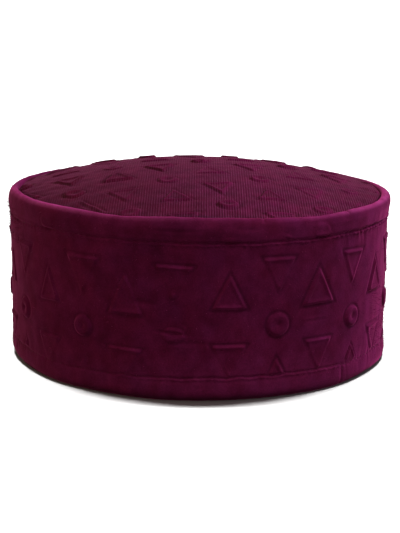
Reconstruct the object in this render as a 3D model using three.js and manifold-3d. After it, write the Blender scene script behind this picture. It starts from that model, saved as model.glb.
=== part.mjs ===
// A round brimless velvet cap: a domed crown panel sewn into an upright side band. The band's top
// edge is rolled over the seam and its lower edge is hemmed, and both cloths are embossed with one
// half-drop repeat of outline triangles and rings. Millimetres, +Z up, front towards -Y, with the
// origin at the centre of the rim that the cap rests on.

import * as THREE from "three";
import { mergeVertices } from "three/addons/utils/BufferGeometryUtils.js";
import Module from "manifold-3d";

const wasm = await Module();
wasm.setup();

// Driving sizes.
const headGirth = 570;
const facets = 60;
const curveSteps = 3;
const seamGap = 0.3;
const rimLean = 0.8;

const band = { wall: 2.5, crest: 80.3, hemProud: 0.3, rollProud: 0.6, rollDepth: 4 };
const foot = { width: 1.6, rounding: 2.4 };
const stitch = { hem: 10, roll: 70.2, depth: 0.7, halfWidth: 1.4 };
const lip = { inset: 3.4, drop: 1.7, facing: 12, taper: 2 };
const crown = { rise: 14.4, wall: 2, turnDown: 6, turnWall: 1.4, rings: 4 };

const innerRadius = headGirth / (2 * Math.PI);
const wallRadius = innerRadius + band.wall;
const lipRadius = wallRadius - lip.inset;
const lipHeight = band.crest - lip.drop;
const crownRadius = lipRadius - seamGap;

// One embossed repeat, charted by hand: each motif's centre above the rim in an even column. Odd
// columns stand half a repeat higher. The band's columns are counted from the one next to the
// front, where the cloth is eased apart a little, and the two that meet at the back join leave the
// repeat unfinished. Round the band the repeat wanders up and down, as hand-cut cloth does. On the
// crown it is turned, and one odd column has the motif at the given rise at the given place.
const repeat = { pitch: 21.9, period: 77.4, halfDrop: 38.7 };
const chart = [
  { motif: "triangleUp", rise: 47.7 },
  { motif: "ring", rise: 70.0 },
  { motif: "triangleDown", rise: 15.3 },
];
const bandColumns = { first: -13, last: 13, firstAngle: 7.5, easeAngle: 0.84 };
const wander = { size: 1.7, waves: 3, phase: 40 };
const crownLayout = { turn: 9.6, x: 9.3, y: -50.8, rise: 54, reach: 6 };

// Each motif is a raised outline: the half width of its figure, and its ridge.
const triangle = { half: 6.6, tall: 13.2, ridge: 2.2, lift: 0.9 };
const ring = { radius: 3.6, ridge: 4.4, lift: 1.2, steps: 8 };
const sink = 0.9;
const ringRunOn = 4.6;

// The cloth between the two stitch lines is embossed, and the rings run on a little over the roll.
const embossedStrips = [
  { low: stitch.hem + stitch.halfWidth, high: stitch.roll - stitch.halfWidth },
  { low: stitch.roll + stitch.halfWidth, high: stitch.roll + ringRunOn },
];

const radians = THREE.MathUtils.degToRad;

// A closed mesh as a solid: its shared corners are merged and its collapsed faces are left out.
function solidOf(geometry) {
  const bare = geometry.clone();
  bare.deleteAttribute("normal");
  bare.deleteAttribute("uv");
  const merged = mergeVertices(bare, 1e-4);
  const corners = merged.index.array;
  const faces = [];
  for (let i = 0; i < corners.length; i += 3) {
    const [a, b, c] = corners.slice(i, i + 3);
    if (a !== b && b !== c && c !== a) faces.push(a, b, c);
  }
  const vertProperties = new Float32Array(merged.attributes.position.array);
  return new wasm.Manifold(new wasm.Mesh({ numProp: 3, vertProperties, triVerts: new Uint32Array(faces) }));
}

function geometryOf(solid) {
  const mesh = solid.getMesh();
  const geometry = new THREE.BufferGeometry();
  geometry.setAttribute("position", new THREE.BufferAttribute(new Float32Array(mesh.vertProperties), 3));
  geometry.setIndex(new THREE.BufferAttribute(new Uint32Array(mesh.triVerts), 1));
  return geometry;
}

// A section of (radius, height) points turned about the upright axis, angle 0 at the front.
function revolve(points) {
  return solidOf(new THREE.LatheGeometry(points, facets).rotateX(Math.PI / 2));
}

function joinAll(solids) {
  return solids.reduce((sum, next) => sum.add(next));
}

// The crown's outer face above the rim, at a distance from the axis.
function domeHeight(radius) {
  return lipHeight + crown.rise * (1 - (radius / lipRadius) ** 2);
}

// The cap leans a little as it stands: its right side is lower than its left, its rim still flat.
function lean(geometry) {
  const position = geometry.attributes.position;
  for (let i = 0; i < position.count; i += 1) {
    const share = (position.getX(i) / wallRadius) * (position.getZ(i) / band.crest);
    position.setZ(i, position.getZ(i) - rimLean * share);
  }
  return geometry;
}

function bandSection() {
  const hemRadius = wallRadius + band.hemProud;
  const rollRadius = wallRadius + band.rollProud;
  const rollHeight = band.crest - band.rollDepth;
  const facingHeight = lipHeight - lip.facing;
  const crestRadius = (rollRadius + lipRadius) / 2;
  const outline = new THREE.Path();
  outline.moveTo(innerRadius, 0);
  outline.lineTo(innerRadius + foot.width, 0);
  outline.quadraticCurveTo(hemRadius, 0, hemRadius, foot.rounding);
  outline.lineTo(hemRadius, stitch.hem - stitch.halfWidth);
  outline.lineTo(wallRadius - stitch.depth, stitch.hem);
  outline.lineTo(wallRadius, stitch.hem + stitch.halfWidth);
  outline.lineTo(wallRadius, stitch.roll - stitch.halfWidth);
  outline.lineTo(wallRadius - stitch.depth, stitch.roll);
  outline.lineTo(wallRadius + band.rollProud / 2, stitch.roll + stitch.halfWidth);
  outline.lineTo(rollRadius, rollHeight);
  outline.quadraticCurveTo(rollRadius, band.crest, crestRadius, band.crest);
  outline.quadraticCurveTo(lipRadius, band.crest, lipRadius, lipHeight);
  outline.lineTo(lipRadius, facingHeight);
  outline.lineTo(innerRadius, facingHeight - lip.taper);
  outline.closePath();
  return outline.getPoints(curveSteps);
}

function crownSection() {
  const turnRadius = crownRadius - crown.turnWall;
  const edgeHeight = domeHeight(crownRadius) - crown.wall;
  const points = [];
  for (let i = 0; i <= crown.rings; i += 1) {
    const radius = (turnRadius * i) / crown.rings;
    points.push(new THREE.Vector2(radius, domeHeight(radius) - crown.wall));
  }
  points.push(new THREE.Vector2(turnRadius, edgeHeight - crown.turnDown));
  points.push(new THREE.Vector2(crownRadius, edgeHeight - crown.turnDown));
  for (let i = crown.rings; i >= 0; i -= 1) {
    const radius = (crownRadius * i) / crown.rings;
    points.push(new THREE.Vector2(radius, domeHeight(radius)));
  }
  return points;
}

// The centre line of a triangle, point up for flip 1 and down for flip -1. Each corner has the way
// that its ridge widens, along the bisector of its two sides.
function trianglePath(flip) {
  const { half, tall } = triangle;
  const corners = [
    [-half, -tall / 2],
    [half, -tall / 2],
    [0, tall / 2],
  ].map(([u, v]) => new THREE.Vector2(u * flip, v * flip));
  const outward = corners.map((corner, i) => {
    const side = corners[(i + 1) % 3].clone().sub(corner).normalize();
    return new THREE.Vector2(side.y, -side.x);
  });
  return corners.map((at, i) => {
    const bisector = outward[(i + 2) % 3].clone().add(outward[i]);
    return { at, out: bisector.multiplyScalar(2 / bisector.lengthSq()) };
  });
}

function ringPath() {
  return Array.from({ length: ring.steps }, (_, i) => {
    const angle = (2 * Math.PI * i) / ring.steps;
    const out = new THREE.Vector2(Math.cos(angle), Math.sin(angle));
    return { at: out.clone().multiplyScalar(ring.radius), out };
  });
}

const motifs = {
  triangleUp: { path: trianglePath(1), ridge: triangle },
  triangleDown: { path: trianglePath(-1), ridge: triangle },
  ring: { path: ringPath(), ridge: ring },
};

// A ridge with a roof-shaped section along a closed path. place(u, v, lift) lays it on a cloth.
function ridgeLoop({ path, ridge }, place) {
  const rows = [
    { offset: ridge.ridge / 2, lift: -sink },
    { offset: 0, lift: ridge.lift },
    { offset: -ridge.ridge / 2, lift: -sink },
  ];
  const positions = [];
  for (const { offset, lift } of rows) {
    for (const { at, out } of path) {
      positions.push(...place(at.x + out.x * offset, at.y + out.y * offset, lift));
    }
  }
  const count = path.length;
  const faces = [];
  for (let row = 0; row < rows.length; row += 1) {
    const next = (row + 1) % rows.length;
    for (let i = 0; i < count; i += 1) {
      const j = (i + 1) % count;
      faces.push(row * count + i, row * count + j, next * count + j);
      faces.push(row * count + i, next * count + j, next * count + i);
    }
  }
  const geometry = new THREE.BufferGeometry();
  geometry.setAttribute("position", new THREE.Float32BufferAttribute(positions, 3));
  geometry.setIndex(faces);
  return solidOf(geometry);
}

// Every motif of one column whose centre lies between two heights.
function columnMotifs(column, low, high) {
  const shift = column % 2 === 0 ? 0 : repeat.halfDrop;
  const found = [];
  for (const { motif, rise } of chart) {
    const start = rise + shift;
    const firstTurn = Math.ceil((low - start) / repeat.period);
    for (let height = start + firstTurn * repeat.period; height <= high; height += repeat.period) {
      found.push({ motif, height });
    }
  }
  return found;
}

function columnAngle(column) {
  const ease = column < 0 ? -bandColumns.easeAngle : bandColumns.easeAngle;
  return radians(bandColumns.firstAngle + ease) + (column * repeat.pitch) / wallRadius;
}

function bandMotifs() {
  const solids = [];
  for (let column = bandColumns.first; column <= bandColumns.last; column += 1) {
    const angle = columnAngle(column);
    const drift = wander.size * Math.sin(wander.waves * angle + radians(wander.phase));
    for (const { motif, height } of columnMotifs(column, 0, band.crest)) {
      const place = (u, v, lift) => {
        const around = angle + u / wallRadius;
        const radius = wallRadius + lift;
        return [radius * Math.sin(around), -radius * Math.cos(around), height + drift + v];
      };
      solids.push(ridgeLoop(motifs[motif], place));
    }
  }
  const strips = embossedStrips.map(({ low, high }) => {
    const outside = wallRadius + 2 * ring.lift;
    const corners = [[innerRadius, low], [outside, low], [outside, high], [innerRadius, high], [innerRadius, low]];
    return revolve(corners.map(([radius, height]) => new THREE.Vector2(radius, height)));
  });
  return joinAll(solids).intersect(joinAll(strips));
}

function crownMotifs() {
  const turn = radians(crownLayout.turn);
  const lowest = crownLayout.rise - 2 * crownRadius;
  const highest = crownLayout.rise + 2 * crownRadius;
  const solids = [];
  for (let column = -crownLayout.reach; column <= crownLayout.reach; column += 1) {
    for (const { motif, height } of columnMotifs(column - 1, lowest, highest)) {
      const place = (u, v, lift) => {
        const along = column * repeat.pitch + u;
        const down = crownLayout.rise - height - v;
        const x = crownLayout.x + along * Math.cos(turn) + down * Math.sin(turn);
        const y = crownLayout.y + along * Math.sin(turn) - down * Math.cos(turn);
        return [x, y, domeHeight(Math.hypot(x, y)) + lift];
      };
      const [x, y] = place(0, 0, 0);
      if (Math.hypot(x, y) < crownRadius + triangle.tall / 2) solids.push(ridgeLoop(motifs[motif], place));
    }
  }
  const edge = crownRadius - stitch.halfWidth;
  const disc = [[0, 0], [edge, 0], [edge, 2 * band.crest], [0, 2 * band.crest]];
  return joinAll(solids).intersect(revolve(disc.map(([radius, height]) => new THREE.Vector2(radius, height))));
}

const crownCloth = new THREE.MeshStandardMaterial({ color: "#5b1a3b", roughness: 0.92, metalness: 0 });
const bandCloth = new THREE.MeshStandardMaterial({ color: "#54092f", roughness: 0.85, metalness: 0 });

function namedMesh(name, solid, material) {
  const mesh = new THREE.Mesh(lean(geometryOf(solid)), material);
  mesh.name = name;
  return mesh;
}

const cap = new THREE.Group();
cap.add(namedMesh("side_band", revolve(bandSection()).add(bandMotifs()), bandCloth));
cap.add(namedMesh("crown_panel", revolve(crownSection()).add(crownMotifs()), crownCloth));

export default cap;
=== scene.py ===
"""The looks of a plum velvet cap that stands on its rim: embossed band, rolled edge, ribbed crown.

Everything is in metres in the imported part's frame: +Z up, front towards -Y. Angles round the band are
measured from the front towards +X.
"""

import math

import bpy
import numpy as np
from mathutils import Matrix, Vector


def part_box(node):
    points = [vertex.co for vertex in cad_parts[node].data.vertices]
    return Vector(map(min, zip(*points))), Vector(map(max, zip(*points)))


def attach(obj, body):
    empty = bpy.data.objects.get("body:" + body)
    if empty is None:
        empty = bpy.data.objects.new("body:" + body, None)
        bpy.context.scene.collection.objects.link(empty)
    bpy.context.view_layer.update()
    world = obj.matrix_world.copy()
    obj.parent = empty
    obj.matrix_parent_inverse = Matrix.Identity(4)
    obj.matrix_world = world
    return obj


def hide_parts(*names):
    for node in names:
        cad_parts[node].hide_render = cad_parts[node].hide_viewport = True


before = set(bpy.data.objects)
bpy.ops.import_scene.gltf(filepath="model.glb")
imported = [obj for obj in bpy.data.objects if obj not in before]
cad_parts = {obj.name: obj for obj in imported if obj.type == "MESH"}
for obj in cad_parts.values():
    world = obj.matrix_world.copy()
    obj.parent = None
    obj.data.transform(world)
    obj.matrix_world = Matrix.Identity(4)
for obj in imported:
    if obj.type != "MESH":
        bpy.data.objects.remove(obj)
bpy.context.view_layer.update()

MM = 0.001
TAU = 2 * math.pi

# ---- driving sizes, from the frame
band_low, band_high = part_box("side_band")
crown_low, crown_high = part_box("crown_panel")

# How far the rings stand out of the wall and the cap leans to its right, in the solids.
RING_LIFT = 1.2 * MM
RIM_LEAN = 0.8 * MM
WALL_RADIUS = (band_high.x - band_low.x) / 2 - RING_LIFT
CREST = band_high.z - RIM_LEAN
SEAM_ANGLE = math.radians(187.5)

# The crown rises from the lip, just outside its edge, and its edge turns down.
CROWN_RADIUS = (crown_high.x - crown_low.x) / 2
LIP_HEIGHT = CREST - 1.7 * MM
SEAM_GAP = 0.3 * MM
CROWN_RISE = 13.4 * MM
CROWN_TURN_DOWN = 2.2 * MM
CROWN_DROP = 2.6 * MM
CLOTH_THICKNESS = 1.8 * MM

# The soft hem's height, both lines of stitches, and how long the cut strips of the band are up the wall.
HEM_DROP = 1.0 * MM
HEM_STITCH = 10 * MM
ROLL_STITCH = 70.2 * MM

# The embossed repeat, of rings and of triangles that point up or down: each motif's centre above the rim in
# an even column. Odd ones are half a repeat up.
PITCH = 21.9 * MM
PERIOD = 77.4 * MM
HALF_DROP = 38.7 * MM
CHART = (("up", 47.0 * MM), ("ring", 69.3 * MM), ("down", 15.3 * MM))
RING_ROW = 1
FIRST_COLUMN, LAST_COLUMN = -13, 13
FRONT_ANGLE = math.radians(7.5)
FRONT_EASE = math.radians(0.84)

# The outlines of the motifs, and how the repeat lies on the crown.
TRIANGLE_HALF = 7.6 * MM
TRIANGLE_TALL = 15.2 * MM
TRIANGLE_CORNER = 0.45 * MM
RING_RADIUS = 4.95 * MM
CROWN_TURN = math.radians(9.6)
CROWN_ANCHOR = (9.3 * MM, -50.8 * MM)
CROWN_ANCHOR_RISE = 54 * MM
CROWN_COLUMN = 20

# The rings of even columns meet the upper line of stitches and show on the roll, some more than others.
ROLL_RINGS = {-4: 0.9, -2: 0.3, 0: 0.9, 2: 1.0, 4: 0.3}
ROLL_RING_ELSEWHERE = 0.6
ROLL_RING_RISE = 3.4 * MM
ROLL_RING_SQUASH = 0.75

# How the motifs are pressed into the band, into the crown, whose cloth is softer, and into the roll: the lift
# of a triangle and of a ring, how far inside its outline a triangle's ridge is highest, and how deep and wide
# the hollow in the middle of a ring is.
BAND_PRESS = {"lift": 0.85 * MM, "ridge": 0.8 * MM, "ring": 0.95 * MM, "hollow": 0.85, "middle": 1.5 * MM}
CROWN_PRESS = {"lift": 1.0 * MM, "ridge": 0.9 * MM, "ring": 1.2 * MM, "hollow": 1.0, "middle": 2.2 * MM}
ROLL_PRESS = {"ring": 0.25 * MM, "hollow": 0.3, "middle": 1.5 * MM}
CROWN_SIDE_SHARES = {"up": 0.75, "down": 0.85}

# The tables below start with a place round the cap in degrees, and are read between their places.
# The rows of motifs don't run level: how far they stand above the chart, in mm.
ROW_DRIFT = (
    (-172.5, 0.3), (-47, -1.9), (-20, -1.2), (-6, -1.6),
    (8, 1.7), (36, 1.1), (50, 0.2), (187.5, 0.3),
)

# How far the roll's top edge stands above its mean height, in mm.
CREST_DRIFT = (
    (-172.5, -1.0), (-110, -0.6), (-75, 0.3), (-53, 0.8),
    (-36, 0.8), (-22, 0.2), (-8, 1.1), (8, 1.3),
    (14, 0.7), (22, 0.1), (35, -0.6), (50, 0.3),
    (75, 0.8), (95, 0.6), (120, -0.4), (187.5, -1.0),
)

# The painted highlight along the roll's top edge, brightest where the light falls from the right, with some
# wear of the pile at the fold.
CREST_HIGHLIGHT_AND_WEAR = (
    (-172.5, 0.35), (-90, 0.1), (-65, 0.5), (-50, 0.95),
    (-32, 0.6), (-15, 0.38), (0, 0.12), (20, 0.0),
    (33, 0.25), (52, 0.75), (66, 1.0), (100, 1.0),
    (150, 0.35), (187.5, 0.35),
)

# How far the sides of the triangles stand up beside their bases: of those that point up, and down.
SIDE_SHARES = (
    (-172.5, 0.7, 0.5), (-60, 0.6, 0.2), (-34, 0.5, 0.2), (-20, 0.3, 0.15),
    (-7, 0.3, 0.05), (8, 0.7, 0.12), (22, 0.9, 0.3), (38, 0.9, 0.3),
    (60, 0.8, 0.5), (187.5, 0.7, 0.5),
)

# Single motifs of the band, by column, row of the chart and repeat, that came out wider, shorter, tilted,
# shifted (in mm) or almost not at all. What an entry leaves out is as in EVEN_MOTIF.
EVEN_MOTIF = {"wide": 1.0, "tall": 1.0, "tilt": 0.0, "shift": 0.0, "rise": 0.0, "lift": 1.0}
ODD_MOTIFS = {
    (-1, 2, 0): {"wide": 1.1, "tilt": 0.03, "lift": 1.15},
    (-2, 2, 0): {"wide": 1.07, "tilt": 0.02, "shift": -0.5},
    (-1, 1, -1): {"wide": 1.05, "tall": 0.72, "tilt": 0.03, "lift": 0.4},
    (-1, 0, -1): {"lift": 0.0},
    (-3, 0, -1): {"lift": 0.4},
    (-4, 0, 0): {"wide": 0.88, "tall": 1.04, "tilt": -0.05},
    (1, 2, 0): {"tall": 1.02, "shift": 0.7},
    (2, 0, 0): {"wide": 1.18, "tall": 1.1, "shift": -0.3, "rise": 0.6},
    (1, 1, -1): {"wide": 1.1, "tall": 1.1, "shift": 0.3, "rise": 1.0},
    (-2, 0, 0): {"wide": 1.03, "tall": 1.2, "rise": 0.5},
    (-3, 2, 0): {"wide": 1.2, "tall": 1.15, "rise": -0.3, "lift": 1.1},
    (3, 0, -1): {"wide": 0.6, "tall": 0.55, "rise": 4.6},
    (3, 2, 0): {"tilt": 0.05, "shift": 0.4, "lift": 0.9},
    (4, 2, 0): {"wide": 1.1, "tall": 1.15, "shift": 0.3, "rise": -1.0, "lift": 0.8},
}

# Single creases and welts in the band: the place in degrees, the height, half the length, half the width
# and the lift in mm (down for a crease, up for a welt), and the slant.
MARKS = (
    (-6, 75.3, 9.5, 0.7, -0.3, 0.0),
    (13, 76.2, 4.5, 0.8, -0.3, 0.0),
    (24.5, 72.4, 2.2, 0.6, 0.45, -0.3),
    (-15.3, 43.0, 3.8, 1.4, -0.55, -0.03),
    (34, 34.0, 5.5, 0.6, 0.25, 0.0),
    (33, 32.4, 5.0, 0.5, -0.15, 0.0),
    (-7.4, 46.5, 1.6, 1.6, 0.35, 0.0),
    (-7.5, 30.0, 4.6, 0.7, -0.9, -0.1),
    (-2.5, 25.5, 8.0, 1.1, -0.3, 0.0),
    (44.5, 5.0, 0.8, 4.0, -0.4, 0.0),
)

# Where the cloth is gathered at a line of stitches: the line, the place and the spread in degrees, the
# number of folds, and their reach and size in mm.
GATHERS = (
    ("roll", 53, 12, 18, 4, 0.45),
    ("hem", 55, 9, 12, 5, 0.2),
    ("hem", 76, 8, 14, 9, 0.25),
    ("roll", -62, 12, 12, 7, 0.2),
    ("hem", -60, 14, 12, 7, 0.3),
)

# The two lines of stitches: how much higher each is at the right, how deep it is sunk, how far the cloth
# above hangs over it, how high the lip below stands at the left and how much higher at the right, in mm.
# Each line sags in places: the place and how far to each side in degrees, and how deep in mm.
LINES = {
    "hem": {"height": HEM_STITCH, "sway": 0.0, "sunk": 0.4, "hang": 0.08, "lip": (0.02, 0.42), "seed": 51},
    "roll": {"height": ROLL_STITCH, "sway": 0.4, "sunk": 0.4, "hang": 0.12, "lip": (0.15, 0.4), "seed": 52},
}
SAGS = {"hem": ((-42, 26, 1.3), (50, 14, 1.1)), "roll": ((-63, 13, 1.2),)}

# How many small puckers each line draws into the cloth, and its stitches, one to each pitch.
PUCKERS = 110
STITCH_PITCH = 3.0 * MM
STITCH_COUNT = round(TAU * WALL_RADIUS / STITCH_PITCH)

# Where loose fibres stand out of the pile: the place in degrees, how far to each side in radians, the
# height and how far above and below it in mm, and their number.
FIBRES = (
    (0, math.pi, 45, 38, 1400),
    (-90, 0.5, 66, 9, 700),
    (88, 0.5, 22, 16, 500),
)
FIBRE_RADIUS = 0.07 * MM
FIBRE_LENGTHS = (0.6 * MM, 2.8 * MM)

# The ends of the crown's doubled fold.
TUCK_ANGLES = (math.radians(17.5), math.radians(46.5))

# Creases in the crown, in mm: from one point to another, half the width, the depth of the groove and the
# height of the welt beside it.
CROWN_CREASES = (
    ((-52.4, -58.5), (-41.3, -73.7), 0.9, 0.35, 0.4),
    ((-79.0, 18.0), (-66.0, 32.0), 2.0, 0.0, 1.0),
)

# How finely the cloth is meshed.
AROUND = 1300
BAND_STEP = 0.45 * MM
INSIDE_AROUND = 360
INSIDE_STEP = 4 * MM
CROWN_SIDE = 385
INSIDE_SIDE = 90
SPLINE_STEPS = 40

# Each motif's own lift, tilt, size and place, by column, row of the chart and repeat.
COLUMN_SLOTS, TURN_SLOTS = 64, 16
SLOTS = (COLUMN_SLOTS, len(CHART), TURN_SLOTS)
rng = np.random.RandomState(435)
MOTIFS = {kind: np.full(SLOTS, value) for kind, value in EVEN_MOTIF.items()}
MOTIFS["lift"] = rng.uniform(0.8, 1.12, SLOTS)
MOTIFS["tilt"] = rng.uniform(-0.035, 0.035, SLOTS)
for (column, row, turn), odd in ODD_MOTIFS.items():
    for kind, value in {**EVEN_MOTIF, **odd}.items():
        MOTIFS[kind][column % COLUMN_SLOTS, row, turn % TURN_SLOTS] = value


# ---- small helpers
def smoothstep(low, high, x):
    """0 at low, 1 at high and smooth between them, whichever is greater."""
    t = np.clip((x - low) / (high - low), 0, 1)
    return t * t * (3 - 2 * t)


def sweep(start, end, around):
    """0 at one place round the cap, 1 at another and smooth between them. Both are in degrees."""
    return smoothstep(math.radians(start), math.radians(end), around)


def bump(x, width):
    """1 where x is 0, falling off smoothly to both sides."""
    return np.exp(-((x / width) ** 2))


def soft_min(values, blend):
    """The least of some values, rounded where two of them meet."""
    total = sum(np.exp(-v / blend) for v in values)
    return -blend * np.log(total)


def unit(vectors):
    """The same directions with length 1."""
    return vectors / np.linalg.norm(vectors, axis=-1, keepdims=True)


def along(table, around, column=1):
    """A table's column, read at angles round the cap."""
    places = [math.radians(entry[0]) for entry in table]
    return np.interp(around, places, [entry[column] for entry in table])


def ripples(around, up, seed, size, count, waves, rise):
    """Uneven cloth: a sum of sine waves that close round the band. rise is their shortest upright wave."""
    draw = np.random.RandomState(seed)
    total = 0
    for _ in range(count):
        turns = draw.randint(waves[0], waves[1])
        slope = draw.uniform(-1, 1) * TAU / rise
        total = total + np.sin(turns * around + slope * up + draw.uniform(0, TAU))
    return size * total / math.sqrt(count)


def add_object(name, data):
    made = bpy.data.objects.new(name, data)
    bpy.context.scene.collection.objects.link(made)
    return made


def mesh_object(name, vertices, faces, material, nap=None, normals=None):
    """A smooth mesh with its material, per-point wear and painted highlight and shade, and normals of its
    own.
    """
    mesh = bpy.data.meshes.new(name)
    mesh.from_pydata(vertices.reshape(-1, 3).tolist(), [], faces)
    mesh.polygons.foreach_set("use_smooth", [True] * len(mesh.polygons))
    for kind, values in (nap or {}).items():
        layer = mesh.attributes.new(kind, "FLOAT", "POINT")
        layer.data.foreach_set("value", values.astype(np.float32).ravel())
    if normals is not None:
        mesh.normals_split_custom_set_from_vertices(normals.reshape(-1, 3).tolist())
    mesh.materials.append(material)
    mesh.update()
    return add_object(name, mesh)


def grid_faces(rows, columns, closed=False):
    """Quads of a grid whose points run row by row, its last column joined to the first where it is closed."""
    row = np.arange(rows - 1)[:, None] * columns
    column = np.arange(columns if closed else columns - 1)
    following = (column + 1) % columns
    corners = (row + column, row + following, row + columns + following, row + columns + column)
    return np.stack(corners, axis=-1).reshape(-1, 4)


def smooth_section(points, step):
    """A smooth curve through (radius, height) points in even steps, with its outward directions."""
    knots = np.array(points)
    padded = np.vstack([2 * knots[0] - knots[1], knots, 2 * knots[-1] - knots[-2]])
    t = np.linspace(0, 1, SPLINE_STEPS, endpoint=False)[:, None]
    parts = []
    for a, b, c, d in zip(padded, padded[1:], padded[2:], padded[3:]):
        square = (2 * a - 5 * b + 4 * c - d) * t**2
        cube = (3 * b - a - 3 * c + d) * t**3
        parts.append(0.5 * (2 * b + (c - a) * t + square + cube))
    curve = np.vstack([*parts, knots[-1:]])
    length = np.concatenate([[0], np.cumsum(np.linalg.norm(np.diff(curve, axis=0), axis=1))])
    rows = max(2, round(length[-1] / step) + 1)
    at = np.linspace(0, length[-1], rows)
    section = np.stack([np.interp(at, length, curve[:, i]) for i in (0, 1)], axis=1)
    onward = unit(np.gradient(section, axis=0))
    outward = np.stack([onward[:, 1], -onward[:, 0]], axis=1)
    return section, outward


def stand(x, z):
    """The cap stands up on its soft hem, a little lower on its right, with its rim still flat."""
    return z + HEM_DROP * smoothstep(0, HEM_STITCH, z) - RIM_LEAN * (x / WALL_RADIUS) * (z / CREST)


def flat_cloth(first, second):
    """The wrong side of the cloth has no relief."""
    return 0 * first


# ---- the embossed motifs
EDGE_FOOT = -0.3 * MM
RIDGE_SPREAD = 0.9 * MM
RIDGE_FLOOR = 0.3
MOAT_GAP, MOAT_WIDTH, MOAT_DEPTH = 0.8 * MM, 0.65 * MM, 0.28
TIP_GAP, TIP_WIDTH, TIP_SHARE = 1.5 * MM, 2.0 * MM, 0.5
BASE_WIDTH = 2.2 * MM
RING_EDGE = 1.4 * MM
RING_MOAT_RADIUS, RING_MOAT_WIDTH, RING_MOAT_DEPTH = 5.5 * MM, 0.7 * MM, 0.22


def ridge(inside, crest):
    """An embossed edge at a distance inside its outline, from 0 to 1: steep outside, a low floor within."""
    rise = smoothstep(EDGE_FOOT, crest, inside)
    fall = RIDGE_FLOOR + (1 - RIDGE_FLOOR) * bump(np.maximum(inside - crest, 0), RIDGE_SPREAD)
    return rise * fall - MOAT_DEPTH * bump(inside + MOAT_GAP, MOAT_WIDTH)


def triangle_relief(across, up, side_share, press):
    """Point up, its corners rounded. The sides stand side_share as high as the base and the tip."""
    slant = math.hypot(TRIANGLE_HALF, TRIANGLE_TALL)
    base = up + TRIANGLE_TALL / 2
    from_tip = up - TRIANGLE_TALL / 2
    sides = [-(sign * across * TRIANGLE_TALL + from_tip * TRIANGLE_HALF) / slant for sign in (1, -1)]
    inside = soft_min([base, *sides], TRIANGLE_CORNER)
    tip = bump(np.hypot(across, from_tip + TIP_GAP), TIP_WIDTH)
    share = side_share + (1 - side_share) * np.minimum(bump(base, BASE_WIDTH) + TIP_SHARE * tip, 1)
    return press["lift"] * share * ridge(inside, press["ridge"])


def ring_relief(across, up, press):
    """A round pad with a hollow in its middle and a shallow moat outside."""
    radius = np.hypot(across, up)
    raised = smoothstep(EDGE_FOOT, RING_EDGE, RING_RADIUS - radius)
    moat = RING_MOAT_DEPTH * bump(RING_MOAT_RADIUS - radius, RING_MOAT_WIDTH)
    return press["ring"] * (raised - moat - press["hollow"] * bump(radius, press["middle"]))


def motif_shape(motif, across, up, side_shares, press):
    """One motif of the chart, at a point measured from its centre."""
    if motif == "ring":
        return ring_relief(across, up, press)
    return triangle_relief(across, up if motif == "up" else -up, side_shares[motif], press)


def motif_relief(column, across, height, press, side_shares):
    """The embossed relief at a point of the flat cloth, across its column's centre line."""
    shift = np.where(column % 2 == 0, 0, HALF_DROP)
    total = 0
    for row, (motif, rise) in enumerate(CHART):
        up = height - rise - shift
        turn = np.floor(up / PERIOD + 0.5)
        up = up - turn * PERIOD
        pick = ((column % COLUMN_SLOTS).astype(int), row, (turn % TURN_SLOTS).astype(int))
        own = {kind: values[pick] for kind, values in MOTIFS.items()}
        beside, up = across - own["shift"] * MM, up - own["rise"] * MM
        turned = (beside - up * own["tilt"]) / own["wide"], (up + beside * own["tilt"]) / own["tall"]
        total = total + own["lift"] * motif_shape(motif, *turned, side_shares, press)
    return total


# ---- the band
def column_angles():
    """The motifs' columns by number, and where each stands round the band."""
    columns = np.arange(FIRST_COLUMN, LAST_COLUMN + 1)
    ease = np.where(columns < 0, -FRONT_EASE, FRONT_EASE)
    return columns, FRONT_ANGLE + ease + columns * PITCH / WALL_RADIUS


def line_height(line, around):
    """The height of a line of stitches, which strays a little and sags in places."""
    shape = LINES[line]
    stray = ripples(around, 0, shape["seed"], size=0.22, count=8, waves=(9, 60), rise=1)
    for degrees, spread, depth in SAGS[line]:
        stray = stray - depth * bump(around - math.radians(degrees), math.radians(spread))
    return shape["height"] + (shape["sway"] * np.sin(around) + stray) * MM


# How far the embossing stops short of the upper line, with a ring on that line and without, and its fades.
RING_CLEAR, PLAIN_CLEAR = 6.5 * MM, 1.5 * MM
HEM_FADE, ROLL_FADE = 1.2 * MM, 2.5 * MM


def band_motifs(around, height):
    """The embossing of the wall, which fades at both lines of stitches."""
    columns, angles = column_angles()
    nearest = np.abs(around[..., None] - angles).argmin(axis=-1)
    across = (around - angles[nearest]) * WALL_RADIUS
    drift = along(ROW_DRIFT, angles) * MM
    side_shares = {"up": along(SIDE_SHARES, around, 1), "down": along(SIDE_SHARES, around, 2)}
    relief = motif_relief(columns[nearest], across, height - drift[nearest], BAND_PRESS, side_shares)
    clear = np.where(columns[nearest] % 2 == 0, RING_CLEAR, PLAIN_CLEAR)
    below = line_height("roll", around) - height - clear
    return relief * smoothstep(HEM_STITCH, HEM_STITCH + HEM_FADE, height) * smoothstep(0, ROLL_FADE, below)


# How high up the roll a ring shows and is gone, and the slit in the line and the puff above it.
SHOWN_TO, GONE_AT = 4.5 * MM, 8 * MM
SLIT_DEPTH, SLIT_WIDTH, SLIT_REACH = 1.3 * MM, 0.55 * MM, 3.8 * MM
PUFF_LIFT, PUFF_WIDTH, PUFF_RISE = 0.35 * MM, 0.9 * MM, 1.4 * MM


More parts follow.
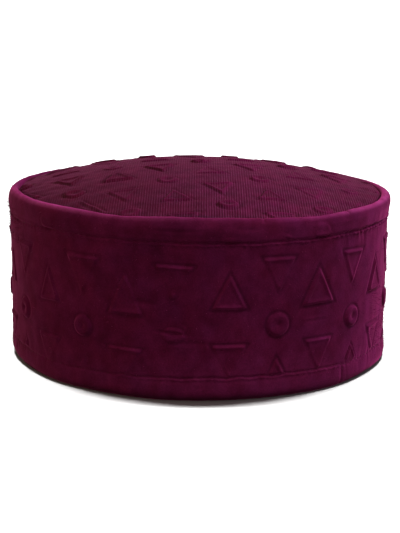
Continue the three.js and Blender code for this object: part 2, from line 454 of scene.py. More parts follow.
def roll_puffs(around, height):
    """A ring that meets the upper line is drawn up over it: it shows on the roll, and the line dips."""
    total = 0
    for column, angle in zip(*column_angles()):
        if column % 2:
            continue
        strength = ROLL_RINGS.get(column, ROLL_RING_ELSEWHERE)
        strength = strength * MOTIFS["lift"][column % COLUMN_SLOTS, RING_ROW, 0]
        across = (around - angle) * WALL_RADIUS
        up = height - line_height("roll", around)
        ring = ring_relief(across, (up - ROLL_RING_RISE) / ROLL_RING_SQUASH, ROLL_PRESS)
        shown = smoothstep(0, 1.0 * MM, up) * (1 - smoothstep(SHOWN_TO, GONE_AT, up))
        slit = PUFF_LIFT * bump(up - PUFF_RISE, PUFF_WIDTH) - SLIT_DEPTH * bump(up, SLIT_WIDTH)
        total = total + strength * (ring * shown + slit * bump(across, SLIT_REACH))
    return total


def drawn_fold(around, up, place, slope, width, reach):
    """One upright fold, 1 at its middle, that fades above and below the stitches that draw it in."""
    across = (around - place) * WALL_RADIUS - slope * up
    return bump(across, width) * np.exp(-np.abs(up) / reach)


def stitch_puckers(around, height, line, seed):
    """Small upright puckers that a line of stitches draws into the cloth."""
    draw = np.random.RandomState(seed)
    up = height - line_height(line, around)
    total = 0
    for _ in range(PUCKERS):
        place = draw.uniform(-math.pi, math.pi) + SEAM_ANGLE - math.pi
        width = draw.uniform(0.7, 2.2) * MM
        size = draw.uniform(-0.2, 0.14) * MM
        reach = draw.uniform(1.5, 6.0) * MM
        slope = draw.uniform(-0.3, 0.3)
        total = total + size * drawn_fold(around, up, place, slope, width, reach)
    if line == "roll":
        total = total * (0.5 - 0.35 * smoothstep(0, 1.5 * MM, up))
    return total


def gathers(around, height):
    """Folds that stand close together where a line of stitches draws the cloth in."""
    draw = np.random.RandomState(77)
    total = 0
    for line, degrees, spread, folds, reach, size in GATHERS:
        up = height - line_height(line, around)
        below = smoothstep(1.5 * MM, -0.5 * MM, up) if line == "roll" else 1
        for _ in range(folds):
            place = math.radians(degrees + draw.uniform(-1, 1) * spread)
            width = draw.uniform(0.6, 1.5) * MM
            fold_size = draw.uniform(-1, 0.6) * size * MM
            fold_reach = draw.uniform(0.4, 1) * reach * MM
            slope = draw.uniform(-0.25, 0.25)
            total = total + fold_size * below * drawn_fold(around, up, place, slope, width, fold_reach)
    return total


def marks(around, height):
    """The single creases and welts of MARKS."""
    total = 0
    for degrees, rise, half, wide, lift, slant in MARKS:
        across = (around - math.radians(degrees)) * WALL_RADIUS
        up = height - rise * MM - slant * across
        total = total + lift * MM * bump(across, half * MM) * bump(up, wide * MM)
    return total


# The heights between which the crest's drift sets in, and where the roll is fuller at the cap's sides: how
# far, at which height and over what reach, in mm.
CREST_DRIFT_HEIGHTS = (72 * MM, 80 * MM)
ROLL_SHOULDER = ((0.75, 78.7, 1.3), (0.3, 76.6, 1.4))


def crest_shape(around, height):
    """The roll's top edge runs unevenly round the cap, and is squarer at both sides than in front."""
    rise = along(CREST_DRIFT, around) * smoothstep(*CREST_DRIFT_HEIGHTS, height)
    square = sweep(10, 35, around) + 0.4 * sweep(-10, -35, around)
    shoulder = sum(lift * bump(height - middle * MM, reach * MM) for lift, middle, reach in ROLL_SHOULDER)
    return (rise + square * shoulder) * MM


def side_shape(around, height):
    """The band stands in a little at its right, and its foot turns in at the left and out at the right."""
    right = -0.6 * MM * np.maximum(np.sin(around), 0) ** 4
    foot = (-0.2 + 0.5 * np.sin(around)) * MM * np.sin(around) ** 2
    return right + foot * (1 - smoothstep(0, 9 * MM, height))


# A tuck sets in between two heights. The back seam is a groove with a welt at each side.
TUCK_DEPTH, TUCK_WIDTH, TUCK_HEIGHTS = 0.5 * MM, 0.7 * MM, (78 * MM, 80 * MM)
SEAM_DEPTH, SEAM_WIDTH = 1.0 * MM, 0.7 * MM
WELT_LIFT, WELT_PLACE, WELT_WIDTH = 0.3 * MM, 2.6 * MM, 1.6 * MM


def tucks(around, height):
    """Two short upright folds in the roll, at the ends of the doubled fold."""
    total = 0
    for angle in TUCK_ANGLES:
        across = (around - angle) * WALL_RADIUS
        total = total - TUCK_DEPTH * bump(across, TUCK_WIDTH) * smoothstep(*TUCK_HEIGHTS, height)
    return total


def back_seam(around):
    """The seam that closes the band: a groove with a soft welt to each side."""
    gap = np.abs((around - SEAM_ANGLE + math.pi) % TAU - math.pi) * WALL_RADIUS
    return WELT_LIFT * bump(gap - WELT_PLACE, WELT_WIDTH) - SEAM_DEPTH * bump(gap, SEAM_WIDTH)


def lip_strength(around, height):
    """The lip below a line is uneven, and dotted where the stitches hold it down."""
    uneven = 1 + ripples(around, height, seed=24, size=0.35, count=9, waves=(20, 120), rise=400 * MM)
    return uneven + 0.4 * np.cos((around - SEAM_ANGLE) * STITCH_COUNT)


# Where the hang and the lip lie beside a line of stitches, and how wide they and its groove are.
GROOVE_WIDTH = 0.4 * MM
HANG_ABOVE, HANG_WIDTH = 1.3 * MM, 1.0 * MM
LIP_BELOW, LIP_WIDTH = 0.85 * MM, 0.45 * MM


def stitch_groove(line, around, height, strength):
    """The line is sunk: the cloth above hangs over it a little and a low lip stands below."""
    shape = LINES[line]
    off = height - line_height(line, around)
    hang = shape["hang"] * bump(off - HANG_ABOVE, HANG_WIDTH)
    left, more = shape["lip"]
    lip = (left + more * (0.5 + 0.5 * np.sin(around))) * strength * bump(off + LIP_BELOW, LIP_WIDTH)
    return (hang + lip - shape["sunk"] * bump(off, GROOVE_WIDTH)) * MM


def band_relief(around, height):
    """How far the outside of the band stands off its smooth section."""
    strength = lip_strength(around, height)
    flat = 1 - 0.7 * sweep(34, 50, around) * sweep(95, 80, around)
    parts = (
        band_motifs(around, height),
        roll_puffs(around, height),
        flat * stitch_groove("hem", around, height, strength),
        stitch_groove("roll", around, height, strength),
        0.6 * stitch_puckers(around, height, "hem", seed=11),
        stitch_puckers(around, height, "roll", seed=12),
        gathers(around, height),
        marks(around, height),
        tucks(around, height),
        crest_shape(around, height),
        side_shape(around, height),
        ripples(around, height, seed=21, size=0.22 * MM, count=7, waves=(3, 15), rise=60 * MM),
        ripples(around, height, seed=22, size=0.045 * MM, count=14, waves=(25, 90), rise=12 * MM),
        back_seam(around),
    )
    return sum(parts)


# The outside of the band, from under the hem over the roll and down to the crown: offset from the
# wall's radius, and height, in mm.
BAND_OUTSIDE = (
    (-2.3, 0.0), (-1.5, 0.2), (-0.6, 0.9), (0.15, 2.2), (0.6, 4.2),
    (0.45, 7.0), (0.1, 10.0), (0.1, 25.0), (0.1, 50.0), (0.1, 66.0),
    (0.05, 70.2), (0.5, 71.8), (0.7, 73.6), (0.55, 75.6), (0.05, 77.4),
    (-0.85, 79.0), (-1.8, 79.95), (-2.7, 79.8), (-3.3, 78.2), (-3.5, 75.3),
)
# Its inside, from the crown down to the rim.
BAND_INSIDE = (
    (-3.5, 75.3), (-3.2, 68.0), (-2.5, 64.0), (-2.5, 12.0),
    (-2.8, 9.0), (-2.7, 2.0), (-2.5, 0.5), (-2.3, 0.0),
)


def band_highlight_and_shade(around, height):
    """Painted highlight and shade: pale along the crest, on the roll's face and above the hem, dark under the
    hem and in the moats.
    """
    # The crest's paler band: a painted highlight, with some wear of the pile at the fold.
    fold = along(CREST_HIGHLIGHT_AND_WEAR, around) * smoothstep(CREST - 2.1 * MM, CREST - 0.5 * MM, height)
    # A little painted highlight on the roll's face, above the upper stitches.
    fold = fold + 0.02 * smoothstep(ROLL_STITCH, ROLL_STITCH + 1 * MM, height)
    # A painted highlight on the hem and the wall just above it, because the hem is lit more.
    hem = 0.07 * smoothstep(HEM_STITCH + 12 * MM, HEM_STITCH - 2 * MM, height)
    # Painted shade: a painted contact shadow darkens the foot where the hem curls under, less at the right.
    # "turned" holds it.
    turned = (1 - smoothstep(0.2 * MM, 3.6 * MM, height)) * (1 - 0.7 * sweep(32, 50, around))
    # Painted shade in the moats just outside the motifs, stronger towards the right.
    moat_shade = (0.2 + 0.22 * sweep(-15, 12, around)) * smoothstep(0.0, 0.2 * MM, -band_motifs(around, height))
    return {"wear_and_highlight": fold + hem, "turned": np.maximum(turned, moat_shade)}


def band_grid(profile, step, columns, relief):
    """A turned section with its relief: points, normals, painted highlight and shade, and its rows' heights
    up to the crest.
    """
    knots = [(WALL_RADIUS + offset * MM, height * MM) for offset, height in profile]
    rows, outward = smooth_section(knots, step)
    around = SEAM_ANGLE - TAU + TAU * np.arange(columns) / columns
    around, height = np.broadcast_arrays(around[None, :], rows[:, 1:2])
    lift = relief(around, height)
    radius = rows[:, :1] + outward[:, :1] * lift
    z = np.maximum(height + outward[:, 1:] * lift, 0)
    x, y = radius * np.sin(around), -radius * np.cos(around)
    points = np.stack([x, y, stand(x, z)], axis=-1)
    onward = np.roll(points, -1, axis=1) - np.roll(points, 1, axis=1)
    normals = unit(np.cross(onward, np.gradient(points, axis=0)))
    return points, normals, band_highlight_and_shade(around, height), rows[: rows[:, 1].argmax(), 1]


def band_piece(name, grid, first, last, material, half=None):
    """The rows first..last of a grid, all round, or its front or back half."""
    points, normals, nap, _ = grid
    columns = points.shape[1]
    pick = np.arange(columns)
    if half:
        start = columns // 4 if half == "front" else 3 * columns // 4
        pick = (start + np.arange(columns // 2 + 1)) % columns
    faces = grid_faces(last + 1 - first, len(pick), closed=not half).tolist()
    part = np.ix_(np.arange(first, last + 1), pick)
    nap = {kind: values[part] for kind, values in nap.items()}
    return mesh_object(name, points[part], faces, material, nap, normals[part])


# ---- the stitches
STITCH_LENGTH = 2.1 * MM
THREAD_RADIUS = 0.17 * MM
THREAD_SIDES = 6
THREAD_STATIONS = 7
THREAD_POINTS = THREAD_STATIONS * THREAD_SIDES
# How far a stitch stands up in its middle and dives at its ends, in thread radii, and how much it thins.
THREAD_UP, THREAD_DIVE, THREAD_TAPER = 0.35, 1.6, 0.55


def stitch_faces():
    """The faces of a line's stitches: each is a tube with its two ends closed."""
    tube = grid_faces(THREAD_STATIONS, THREAD_SIDES, closed=True)[:, ::-1]
    first_points = np.arange(STITCH_COUNT) * THREAD_POINTS
    faces = (tube[None] + first_points[:, None, None]).reshape(-1, 4).tolist()
    for first in first_points.tolist():
        faces.append(list(range(first, first + THREAD_SIDES)))
        faces.append(list(range(first + THREAD_POINTS - 1, first + THREAD_POINTS - THREAD_SIDES - 1, -1)))
    return faces


def stitches(name, line, profile_offset, material):
    """A row of short stitches lying in the groove, each diving into the cloth at both ends."""
    centre = SEAM_ANGLE - TAU + TAU * (np.arange(STITCH_COUNT) + 0.5) / STITCH_COUNT
    station = np.linspace(-1, 1, THREAD_STATIONS)
    around = centre[:, None] + station * STITCH_LENGTH / 2 / WALL_RADIUS
    height = line_height(line, around)
    middle = np.broadcast_to(centre[:, None], around.shape)
    radius = WALL_RADIUS + profile_offset + band_relief(middle, line_height(line, middle))
    radius = radius + THREAD_RADIUS * (THREAD_UP - THREAD_DIVE * station**4)
    thick = THREAD_RADIUS * np.sqrt(1 - THREAD_TAPER * station**2)
    side = np.arange(THREAD_SIDES) * TAU / THREAD_SIDES
    radius = radius[..., None] + thick[:, None] * np.cos(side)
    z = height[..., None] + thick[:, None] * np.sin(side)
    x, y = radius * np.sin(around)[..., None], -radius * np.cos(around)[..., None]
    points = np.stack([x, y, stand(x, z)], axis=-1)
    return mesh_object(name, points, stitch_faces(), material)


# ---- loose fibres
# How deep a fibre is rooted, how thick its middle is beside its root, how far it leans and bends, how much
# paler it is.
FIBRE_ROOT = 0.2 * MM
FIBRE_MIDDLE = 0.75
FIBRE_LEAN, FIBRE_BEND = 0.45, 0.5
FIBRE_PALENESS = 0.15
SPIKE = ((0, 2, 1), (0, 1, 4, 3), (1, 2, 5, 4), (2, 0, 3, 5), (3, 4, 6), (4, 5, 6), (5, 3, 6))
SPIKE_POINTS = 7


def fibre_places(draw, heights, columns):
    """The row and the column of the band's grid at which each fibre grows."""
    places = []
    for degrees, spread, rise, reach, count in FIBRES:
        turn = math.radians(degrees) - SEAM_ANGLE + TAU + draw.uniform(-1, 1, count) * spread
        height = (rise + draw.uniform(-1, 1, count) * reach) * MM
        column = (turn / TAU * columns).astype(int) % columns
        places.append(np.stack([np.searchsorted(heights, height), column]))
    return np.concatenate(places, axis=1)


def loose_fibres(name, grid, material):
    """Fibres that stand out of the pile: thin three-sided spikes, each with a bend."""
    points, normals, _, heights = grid
    draw = np.random.RandomState(91)
    row, column = fibre_places(draw, heights, points.shape[1])
    count = len(row)
    root, out = points[row, column], normals[row, column]
    lean = out + draw.normal(0, FIBRE_LEAN, (count, 3))
    bent = lean + draw.normal(0, FIBRE_BEND, (count, 3))
    length = draw.uniform(*FIBRE_LENGTHS, (count, 1))
    middle = root + 0.5 * length * unit(lean)
    tip = middle + 0.5 * length * unit(bent)
    side = unit(np.cross(lean, draw.normal(0, 1, (count, 3))))
    other = np.cross(unit(lean), side)
    corners = []
    for centre, thick in ((root - FIBRE_ROOT * out, FIBRE_RADIUS), (middle, FIBRE_MIDDLE * FIBRE_RADIUS)):
        for angle in (0, TAU / 3, 2 * TAU / 3):
            corners.append(centre + thick * (math.cos(angle) * side + math.sin(angle) * other))
    vertices = np.stack([*corners, tip], axis=1)
    faces = [[SPIKE_POINTS * i + corner for corner in face] for i in range(count) for face in SPIKE]
    return mesh_object(name, vertices, faces, material, {"wear_and_highlight": np.full(SPIKE_POINTS * count, FIBRE_PALENESS)})


# ---- the crown
def dome_height(radius):
    """The height of the smooth dome, which meets the lip outside its edge."""
    return LIP_HEIGHT + CROWN_RISE * (1 - (radius / (CROWN_RADIUS + SEAM_GAP)) ** 2)


def disc_points(side):
    """A square grid laid evenly over a disc of radius 1."""
    line = np.linspace(-1, 1, side)
    line = np.where(line == 0, 1e-12, line)
    a, b = np.meshgrid(line, line)
    wide = np.abs(a) > np.abs(b)
    radius = np.where(wide, a, b)
    angle = np.where(wide, (math.pi / 4) * (b / a), math.pi / 2 - (math.pi / 4) * (a / b))
    return radius * np.cos(angle), radius * np.sin(angle)


def crown_motifs(x, y):
    """The same repeat, turned, with its rows a little closer towards the front."""
    off_x, off_y = x - CROWN_ANCHOR[0], y - CROWN_ANCHOR[1]
    across = off_x * math.cos(CROWN_TURN) + off_y * math.sin(CROWN_TURN)
    down = off_x * math.sin(CROWN_TURN) - off_y * math.cos(CROWN_TURN)
    column = np.round(across / PITCH)
    across = across - column * PITCH
    height = CROWN_ANCHOR_RISE - down - 4 * MM * smoothstep(8 * MM, 20 * MM, down) + HALF_DROP
    return motif_relief(column + CROWN_COLUMN, across, height, CROWN_PRESS, CROWN_SIDE_SHARES)


def crumple(x, y, seed, size, count, lengths):
    """Loose cloth: waves of many directions and lengths, from lengths[0] up to lengths[1]."""
    draw = np.random.RandomState(seed)
    total = 0
    for _ in range(count):
        heading = draw.uniform(0, TAU)
        onward = x * math.cos(heading) + y * math.sin(heading)
        total = total + np.sin(TAU * onward / draw.uniform(*lengths) + draw.uniform(0, TAU))
    return size * total / math.sqrt(count)


def crown_creases(x, y):
    """The single creases of CROWN_CREASES."""
    total = 0
    for start, end, wide, groove, welt in CROWN_CREASES:
        start, end, wide = np.array(start) * MM, np.array(end) * MM, wide * MM
        length = np.linalg.norm(end - start)
        heading = (end - start) / length
        onward = (x - start[0]) * heading[0] + (y - start[1]) * heading[1]
        beside = (x - start[0]) * heading[1] - (y - start[1]) * heading[0]
        ends = smoothstep(-2 * MM, 2 * MM, onward) * smoothstep(length + 2 * MM, length - 2 * MM, onward)
        shape = welt * bump(beside - 1.8 * wide, wide) - groove * bump(beside, wide)
        total = total + ends * shape * MM
    return total


def crown_edge(around, radius):
    """At its edge the crown is doubled at the front right, sunk in front and raised at the right."""
    tuck_start, tuck_end = TUCK_ANGLES
    fold = smoothstep(tuck_start, tuck_start + 0.04, around)
    fold = fold * (1 - smoothstep(tuck_end - 0.04, tuck_end, around))
    lift = fold * 0.6 * MM * bump(radius - CROWN_RADIUS + 1.9 * MM, 0.8 * MM)
    sunk = bump(around - math.radians(-2), math.radians(10))
    lift = lift - sunk * 1.2 * MM * smoothstep(CROWN_RADIUS - 4.5 * MM, CROWN_RADIUS - 1 * MM, radius)
    raised = sweep(45, 75, around) * sweep(130, 110, around)
    return lift + 0.9 * MM * raised * smoothstep(CROWN_RADIUS - 14 * MM, CROWN_RADIUS - 3 * MM, radius)


def crown_relief(x, y):
    """Softer embossing than the band's, which fades at the edge, on cloth crumpled most near its edge."""
    radius = np.hypot(x, y)
    around = np.arctan2(x, -y)
    inner = 1 - smoothstep(CROWN_RADIUS - 2.6 * MM, CROWN_RADIUS - 0.8 * MM, radius)
    wear = 0.75 + 0.25 * ripples(around, radius, seed=33, size=1.0, count=6, waves=(1, 7), rise=60 * MM)
    waves = ripples(around, radius, seed=31, size=0.12 * MM, count=8, waves=(2, 9), rise=70 * MM)
    near_edge = 0.4 + 0.6 * smoothstep(0.55 * CROWN_RADIUS, 0.9 * CROWN_RADIUS, radius)
    crumples = crumple(x, y, seed=34, size=0.18 * MM, count=26, lengths=(7 * MM, 22 * MM))
    lift = np.clip(wear, 0.35, 1.1) * crown_motifs(x, y) * inner
    lift = lift + waves * radius / CROWN_RADIUS + near_edge * inner * crumples
    return lift + crown_edge(around, radius) + crown_creases(x, y)


def crown_wear_and_shade(x, y, radius):
    """The motifs are worn, and shade is painted on the crown's front edge, where it goes down behind the
    roll.
    """
    wear_and_highlight = smoothstep(0.3 * MM, 0.8 * MM, crown_motifs(x, y))
    gap = bump(np.arctan2(x, -y) - math.radians(3), math.radians(10))
    # Painted shade where the crown's front edge goes down behind the roll. "turned" holds it.
    turned = 0.55 * gap * smoothstep(CROWN_RADIUS - 7.8 * MM, CROWN_RADIUS - 5.5 * MM, radius)
    return {"wear_and_highlight": wear_and_highlight, "turned": turned}


def crown_sheet(name, side, first, last, material, relief=crown_relief, below=0):
    """The rows first..last, from front to back, of a domed round sheet."""
    x, y = disc_points(side)
    x, y = x[first : last + 1] * CROWN_RADIUS, y[first : last + 1] * CROWN_RADIUS
    radius = np.hypot(x, y)
    edge = np.clip((radius - CROWN_RADIUS) / CROWN_TURN_DOWN + 1, 0, 1)
    z = dome_height(radius) - below + relief(x, y) - CROWN_DROP * edge**2.4
    points = np.stack([x, y, stand(x, z)], axis=-1)
    faces = grid_faces(len(x), side).tolist()
    return mesh_object(name, points, faces, material, crown_wear_and_shade(x, y, radius))


# ---- materials
SPECULAR = 0.04
NAP_CONTRAST = (1.5, 2.6, 2.1)
RIB_PITCH = 1.13 * MM
WEAVE_PITCH = 0.8 * MM
TWIST_PITCH = 0.35 * MM


class Nodes:
    """The nodes of a material or of the sky, with short ways to add and join them."""

    def __init__(self, owner, coordinates="Object"):
        self.owner, self.tree = owner, owner.node_tree
        self.place = self.node("TexCoord").outputs[coordinates]

    def node(self, kind, inputs=None, **settings):
        """A new node. Its inputs, by name or number, are values or outputs of other nodes."""
        made = self.tree.nodes.new("ShaderNode" + kind)
        for key, value in settings.items():
            setattr(made, key, value)
        for key, value in (inputs or {}).items():
            if hasattr(value, "is_linked"):
                self.tree.links.new(value, made.inputs[key])
            else:
                made.inputs[key].default_value = value
        return made

    def axes(self):
        return self.node("SeparateXYZ", {0: self.place}).outputs

    def attribute(self, name):
        return self.node("Attribute", attribute_name=name).outputs["Fac"]

    def math(self, operation, *values):
        return self.node("Math", dict(enumerate(values)), operation=operation).outputs[0]

    def waves(self, value, length):
        return self.math("SINE", self.math("MULTIPLY", value, TAU / length))

    def noise(self, scale, detail, source=None):
        inputs = {"Scale": scale, "Detail": detail, "Vector": source or self.place}
        return self.node("TexNoise", inputs).outputs["Fac"]

    def remap(self, value, low, high, start=0.3, end=0.7):
        inputs = dict(enumerate((value, start, end, low, high)))
        return self.node("MapRange", inputs).outputs[0]

    def stretched(self, scale):
        return self.node("Mapping", {"Scale": scale, "Vector": self.place}).outputs[0]

    def mix(self, factor, first, second, blend="MIX"):
        inputs = {"Factor": factor, 6: first, 7: second}
        return self.node("Mix", inputs, data_type="RGBA", blend_type=blend).outputs[2]

    def times(self, first, second):
        return self.mix(1.0, first, second, "MULTIPLY")

    def bump(self, height, distance, strength=1.0, under=None):
        inputs = {"Strength": strength, "Distance": distance, "Height": height}
        if under is not None:
            inputs["Normal"] = under
        return self.node("Bump", inputs).outputs["Normal"]


def new_material(name):
    """The nodes of a new material, none as yet."""
    material = bpy.data.materials.new(name)
    material.use_nodes = True
    material.node_tree.nodes.clear()
    return Nodes(material)


def finish_material(nodes, color, roughness, normal=None, sheen=None):
    """Gives the material a matt surface of this colour, with a sheen where it has a pile."""
    inputs = {"Base Color": color, "Roughness": roughness, "Specular IOR Level": SPECULAR}
    if normal is not None:
        inputs["Normal"] = normal
    for part, value in (sheen or {}).items():
        inputs["Sheen " + part] = value
    shader = nodes.node("BsdfPrincipled", inputs)
    nodes.node("OutputMaterial", {"Surface": shader.outputs[0]})
    return nodes.owner


def pile_color(cloth, dark, light, blush, wear_and_highlight, patches):
    """The colour of the pile: patchy nap, reddish here and there, paler on worn motifs and where a highlight
    is painted.
    """
    nap = cloth.remap(cloth.noise(30, 4), 0.0, 1.0)
    brushed = cloth.noise(1.0, 6, cloth.stretched((160, 160, 130)))
    patch = cloth.remap(cloth.math("ADD", brushed, cloth.noise(150, 6)), 0.0, 1.0, 0.75, 1.25)
    dull = tuple(1 - patches * share for share in NAP_CONTRAST)
    fresh = tuple(1 + patches * share for share in NAP_CONTRAST)
    color = cloth.mix(nap, (*dark, 1), (*light, 1))
    color = cloth.mix(cloth.remap(cloth.noise(85, 3), 0.0, 0.75), color, (*blush, 1))
    color = cloth.mix(cloth.attribute("wear_and_highlight"), color, (*wear_and_highlight, 1))
    return cloth.times(color, cloth.mix(patch, (*dull, 1), (*fresh, 1)))


def velvet(name, dark, light, blush, wear_and_highlight, sheen, patches, ribs=None):
    """Short-piled cloth with a fine grain, darker where shade is painted in, and ribs from front to back."""
    cloth = new_material(name)
    grain = cloth.noise(1500, 3)
    # The "turned" attribute holds painted shade, which darkens the colour here.
    lit = cloth.math("MULTIPLY_ADD", cloth.attribute("turned"), -0.8, 1.0)
    shade = cloth.math("MULTIPLY", cloth.remap(grain, 0.84, 1.16), lit)
    color = cloth.times(pile_color(cloth, dark, light, blush, wear_and_highlight, patches), shade)
    normal = None
    if ribs:
        rib, painted_shade_left = rib_pattern(cloth)
        # A painted shade darkens the crown's colour towards its left.
        color = cloth.mix(painted_shade_left, color, cloth.times(color, (*ribs["painted_shade_left"], 1)))
        # Darker between the ribs and paler grey on their crests: partly the ribs' own tone, partly painted
        # shade and painted highlight, beside their bump.
        valley_shade = cloth.times(color, (*ribs["valley_shade"], 1))
        crest = cloth.mix(1.0, color, (*ribs["crest"], 1), "ADD")
        color = cloth.mix(rib, valley_shade, crest)
        normal = cloth.bump(rib, ribs["depth"])
    normal = cloth.bump(grain, 0.12 * MM, 0.5, normal)
    return finish_material(cloth, color, 0.9, normal, sheen)


def rib_pattern(cloth):
    """Fine ribs along Y, 0 to 1, wavering and broken here and there, and a ramp of painted shade towards the
    left, where the ribs fade too.
    """
    across = cloth.axes()["X"]
    waver = cloth.math("MULTIPLY", cloth.noise(70, 2), 2.2)
    turns = cloth.math("MULTIPLY", across, TAU / RIB_PITCH)
    wave = cloth.math("SINE", cloth.math("ADD", turns, waver))
    broken = cloth.remap(cloth.noise(1.0, 3, cloth.stretched((900, 260, 260))), 0.35, 1.0)
    # A ramp of painted shade, full at the left of the crown and gone just right of its middle, which also
    # fades the ribs.
    painted_shade_left = cloth.remap(across, 1.0, 0.0, -60 * MM, 10 * MM)
    ribs = cloth.math("MULTIPLY", cloth.math("MULTIPLY_ADD", wave, 0.5, 0.5), broken)
    ribs = cloth.math("MULTIPLY", ribs, cloth.math("MULTIPLY_ADD", painted_shade_left, -0.5, 1.05))
    shown = cloth.math("MULTIPLY_ADD", cloth.attribute("wear_and_highlight"), -0.5, 1.0)
    return cloth.math("MULTIPLY", ribs, shown), painted_shade_left


def cloth_reverse(name, dark, light):
    """The wrong side of the cloth: a flat, fine plain weave."""
    cloth = new_material(name)
    waves = [cloth.waves(coordinate, WEAVE_PITCH) for coordinate in cloth.axes()]
    weave = cloth.math("MULTIPLY", cloth.math("ADD", waves[0], waves[1]), waves[2])
    color = cloth.mix(cloth.remap(cloth.noise(60, 3), 0.0, 1.0), (*dark, 1), (*light, 1))
    color = cloth.times(color, cloth.remap(weave, 0.85, 1.1, -2.0, 2.0))
    return finish_material(cloth, color, 0.95, cloth.bump(weave, 0.04 * MM, 0.6))


def thread(name, color):
    """Twisted sewing thread."""
    twist = new_material(name)
    axes = twist.axes()
    strands = twist.waves(twist.math("ADD", axes["X"], axes["Z"]), TWIST_PITCH)
    shade = twist.times((*color, 1), twist.remap(strands, 0.75, 1.1, -1.0, 1.0))
    return finish_material(twist, shade, 0.6, twist.bump(strands, 0.03 * MM, 0.7))


band_velvet = velvet(
    "band_velvet",
    dark=(0.059, 0.0036, 0.0262),
    light=(0.094, 0.0066, 0.0405),
    blush=(0.086, 0.0044, 0.0268),
    # The pale colour of the band's painted highlight, along the crest, on the roll and hem, and of the loose
    # fibres.
    wear_and_highlight=(0.205, 0.0260, 0.1000),
    sheen={"Weight": 0.5, "Roughness": 0.35, "Tint": (0.6, 0.07, 0.24, 1)},
    patches=0.12,
)
crown_velvet = velvet(
    "crown_velvet",
    dark=(0.056, 0.0026, 0.0166),
    light=(0.089, 0.0054, 0.0286),
    blush=(0.083, 0.0033, 0.0185),
    wear_and_highlight=(0.100, 0.0045, 0.0330),
    sheen={"Weight": 0.2, "Roughness": 0.4, "Tint": (0.55, 0.1, 0.22, 1)},
    patches=0.18,
    # Painted shade in the rib valleys, a painted highlight on their crests, and the painted shade at the
    # left.
    ribs={
        "valley_shade": (0.64, 0.30, 0.50),
        "crest": (0.030, 0.0160, 0.0240),
        "painted_shade_left": (0.66, 0.76, 0.37),
        "depth": 0.24 * MM,
    },
)
velvet_reverse = cloth_reverse("velvet_reverse", (0.035, 0.004, 0.013), (0.05, 0.006, 0.02))
plum_thread = thread("plum_thread", (0.085, 0.007, 0.032))

# ---- the cap
outside = band_grid(BAND_OUTSIDE, BAND_STEP, AROUND, band_relief)
inside = band_grid(BAND_INSIDE, INSIDE_STEP, INSIDE_AROUND, flat_cloth)
heights = outside[3]
hem_row = np.abs(heights - HEM_STITCH).argmin()
roll_row = np.abs(heights - ROLL_STITCH).argmin()
last_row = len(outside[0]) - 1

band_pieces = [
    band_piece("band_hem", outside, 0, hem_row, band_velvet),
    band_piece("band_wall_front", outside, hem_row, roll_row, band_velvet, "front"),
    band_piece("band_wall_back", outside, hem_row, roll_row, band_velvet, "back"),
    band_piece("band_roll", outside, roll_row, last_row, band_velvet),
    band_piece("band_inside", inside, 0, len(inside[0]) - 1, velvet_reverse),
    stitches("hem_stitches", "hem", 0.1 * MM, plum_thread),
    stitches("roll_stitches", "roll", 0.05 * MM, plum_thread),
    loose_fibres("band_loose_fibres", outside, band_velvet),
]
middle_row, rear_row = CROWN_SIDE // 2, CROWN_SIDE - 1
crown_pieces = [
    crown_sheet("crown_front", CROWN_SIDE, 0, middle_row, crown_velvet),
    crown_sheet("crown_back", CROWN_SIDE, middle_row, rear_row, crown_velvet),
    crown_sheet("crown_inside", INSIDE_SIDE, 0, INSIDE_SIDE - 1, velvet_reverse, flat_cloth, CLOTH_THICKNESS),
]
for piece in band_pieces:
    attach(piece, "root")
    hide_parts("side_band")
for piece in crown_pieces:
    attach(piece, "root")
    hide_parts("crown_panel")


# ---- floor, light and camera
FLOOR_REACH = 20.0
FLOOR_COLOR = (0.29, 0.29, 0.29, 1)

# The sky's level at the sine of the height above the horizon, and its tints at the left and the right.
SKY = ((-0.03, 0.1), (-0.02, 1.0), (0.2, 1.0), (0.36, 0.25), (1.0, 0.25))
SKY_TINTS = ((1.0, 0.66, 0.42, 1), (1.0, 0.9, 1.1, 1))

# Each sun: its name, what it lights, where it stands, its strength, its spread in degrees and its colour.
SUNS = (
    ("ceiling", "cap", (0.1, 0.0, 1.0), 0.6, 120, (1.0, 0.98, 1.0)),
    ("key", "band", (0.5, -0.2, 1.0), 1.4, 20, (1.0, 0.9, 0.95)),
    ("rake", "band", (0.77, 0.62, 0.8), 2.8, 12, (1.0, 0.45, 1.15)),
    ("fill", "band", (-1.0, 0.1, 0.35), 0.38, 40, (1.0, 0.4, 0.25)),
    ("crown_key", "crown", (0.85, -0.3, 0.45), 3.8, 25, (1.0, 0.7, 1.32)),
    ("floor_wash_left", "floor", (-0.12, 0.11, 1.0), 11.5, 6.5, (1.0, 1.0, 1.0)),
    ("floor_wash_right", "floor", (0.12, 0.11, 1.0), 11.5, 6.5, (1.0, 1.0, 1.0)),
)

# The camera stands in front and looks a little down at the cap.
LENS, SENSOR = 88.97, 36
CAMERA_PLACE = (0.38 * MM, -645.9 * MM, 186.7 * MM)
CAMERA_DOWN, CAMERA_ROLL = math.radians(12.79), math.radians(0.563)


def make_floor():
    """A pale table top. It throws no light back up at the cap."""
    mesh = bpy.data.meshes.new("floor")
    far = FLOOR_REACH
    mesh.from_pydata([(-far, -far, 0), (far, -far, 0), (far, far, 0), (-far, far, 0)], [], [(0, 1, 2, 3)])
    floor = add_object("floor", mesh)
    mesh.materials.append(finish_material(new_material("floor_paint"), FLOOR_COLOR, 0.9))
    floor.visible_diffuse = False
    return floor


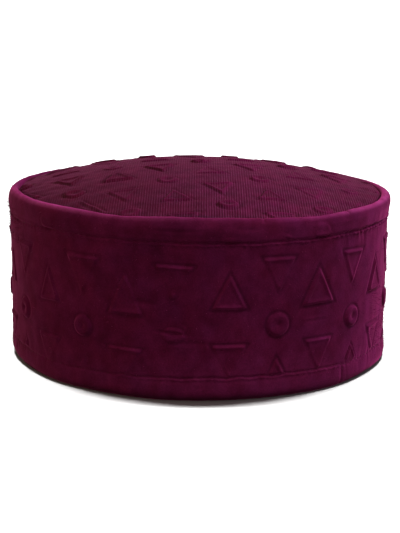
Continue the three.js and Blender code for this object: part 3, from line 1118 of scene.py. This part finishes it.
def make_sky():
    """Pale round the horizon, warm on the left and cool on the right, dimmer above and dark below."""
    world = bpy.data.worlds.new("studio")
    world.use_nodes = True
    sky = Nodes(world, "Generated")
    axes = sky.axes()
    ramp = sky.node("ValToRGB", {"Fac": sky.math("MULTIPLY_ADD", axes["Z"], 0.5, 0.5)})
    stops = ramp.color_ramp.elements
    stops.remove(stops[1])
    for sine, level in SKY:
        stops.new(0.5 + 0.5 * sine).color = (level, level, level, 1)
    stops.remove(stops[0])
    tint = sky.mix(sky.remap(axes["X"], 0.0, 1.0, -1.0, 1.0), *SKY_TINTS)
    background = sky.tree.nodes["Background"]
    sky.tree.links.new(sky.times(ramp.outputs[0], tint), background.inputs[0])
    bpy.context.scene.world = world


def make_sun(name, towards, strength, spread, color, pieces, state):
    """A sun that is kept off some objects (EXCLUDE), or that lights those alone (INCLUDE)."""
    light = bpy.data.lights.new(name, "SUN")
    light.energy = strength
    light.angle = math.radians(spread)
    light.color = color
    lamp = add_object(name, light)
    lamp.rotation_mode = "QUATERNION"
    lamp.rotation_quaternion = Vector(towards).to_track_quat("Z", "Y")
    receivers = bpy.data.collections.new(name + "_receivers")
    for number, piece in enumerate(pieces):
        receivers.objects.link(piece)
        receivers.collection_objects[number].light_linking.link_state = state
    lamp.light_linking.receiver_collection = receivers


def make_camera():
    data = bpy.data.cameras.new("camera")
    data.lens = LENS
    data.sensor_width = SENSOR
    camera = add_object("camera", data)
    camera.location = CAMERA_PLACE
    pitch = Matrix.Rotation(math.pi / 2 - CAMERA_DOWN, 3, "X")
    roll = Matrix.Rotation(CAMERA_ROLL, 3, "Z")
    camera.rotation_euler = (pitch @ roll).to_euler()
    bpy.context.scene.camera = camera


floor = make_floor()
make_sky()
LIT = {
    "cap": ([floor], "EXCLUDE"),
    "band": ([floor, *crown_pieces], "EXCLUDE"),
    "crown": (crown_pieces, "INCLUDE"),
    "floor": ([floor], "INCLUDE"),
}
for name, lit, *settings in SUNS:
    make_sun(name, *settings, *LIT[lit])
make_camera()
bpy.context.scene.view_settings.view_transform = "Standard"
